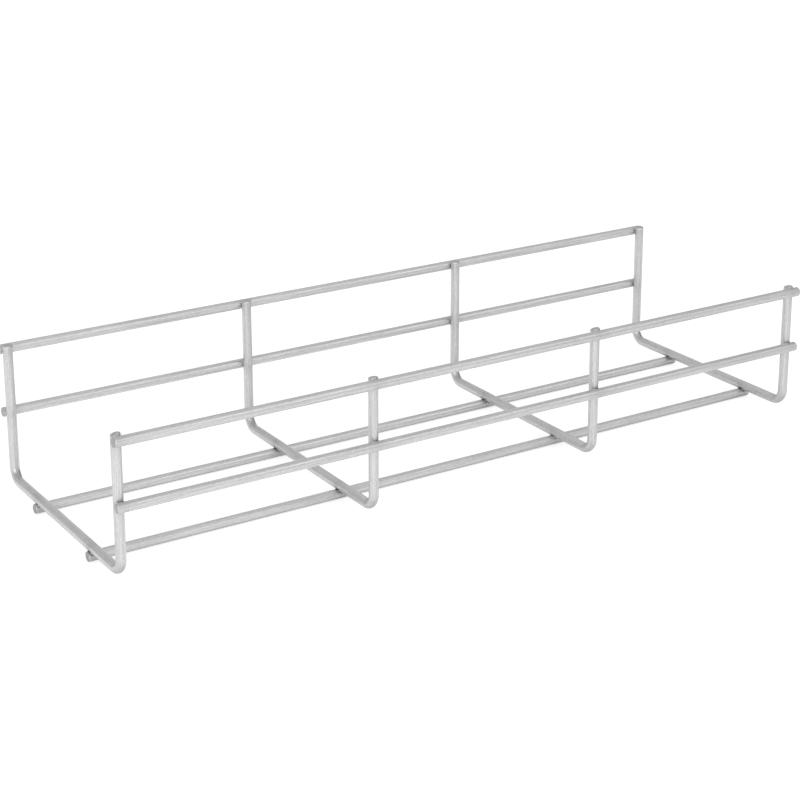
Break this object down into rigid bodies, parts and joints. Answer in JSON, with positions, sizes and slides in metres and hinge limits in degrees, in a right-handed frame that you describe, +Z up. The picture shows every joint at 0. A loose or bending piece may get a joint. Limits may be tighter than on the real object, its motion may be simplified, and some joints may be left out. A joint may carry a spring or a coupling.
{
  "type": "wire cable tray",
  "caption": "Open welded wire cable tray: U-shaped cross wires joined by long wires along the floor and both walls.",
  "frame": {"origin": "on the surface that the tray stands on, below the middle of the tray's overall box", "axes": "+X along the tray, +Y towards the taller back wall, +Z up out of the open trough"},
  "size_m": [0.411, 0.1432, 0.0787],
  "materials": {
    "wire": "satin bright-zinc plated drawn steel wire, with faint die lines along it",
    "weld": "dull plated weld metal, slightly darker and rougher than the wire"
  },
  "bodies": {
    "root": {"cross_wire_1": "wire", "cross_wire_2": "wire", "cross_wire_3": "wire", "cross_wire_4": "wire", "back_top_wire": "wire", "back_middle_wire": "wire", "floor_back_wire": "wire", "floor_front_wire": "wire", "front_lower_wire": "wire", "front_top_wire": "wire", "weld_back_top_1": "weld", "weld_back_top_2": "weld", "weld_back_top_3": "weld", "weld_back_top_4": "weld", "weld_back_middle_1": "weld", "weld_back_middle_2": "weld", "weld_back_middle_3": "weld", "weld_back_middle_4": "weld", "weld_floor_back_1": "weld", "weld_floor_back_2": "weld", "weld_floor_back_3": "weld", "weld_floor_back_4": "weld", "weld_floor_front_1": "weld", "weld_floor_front_2": "weld", "weld_floor_front_3": "weld", "weld_floor_front_4": "weld", "weld_front_lower_1": "weld", "weld_front_lower_2": "weld", "weld_front_lower_3": "weld", "weld_front_lower_4": "weld", "weld_front_top_1": "weld", "weld_front_top_2": "weld", "weld_front_top_3": "weld", "weld_front_top_4": "weld"}
  },
  "joints": []
}
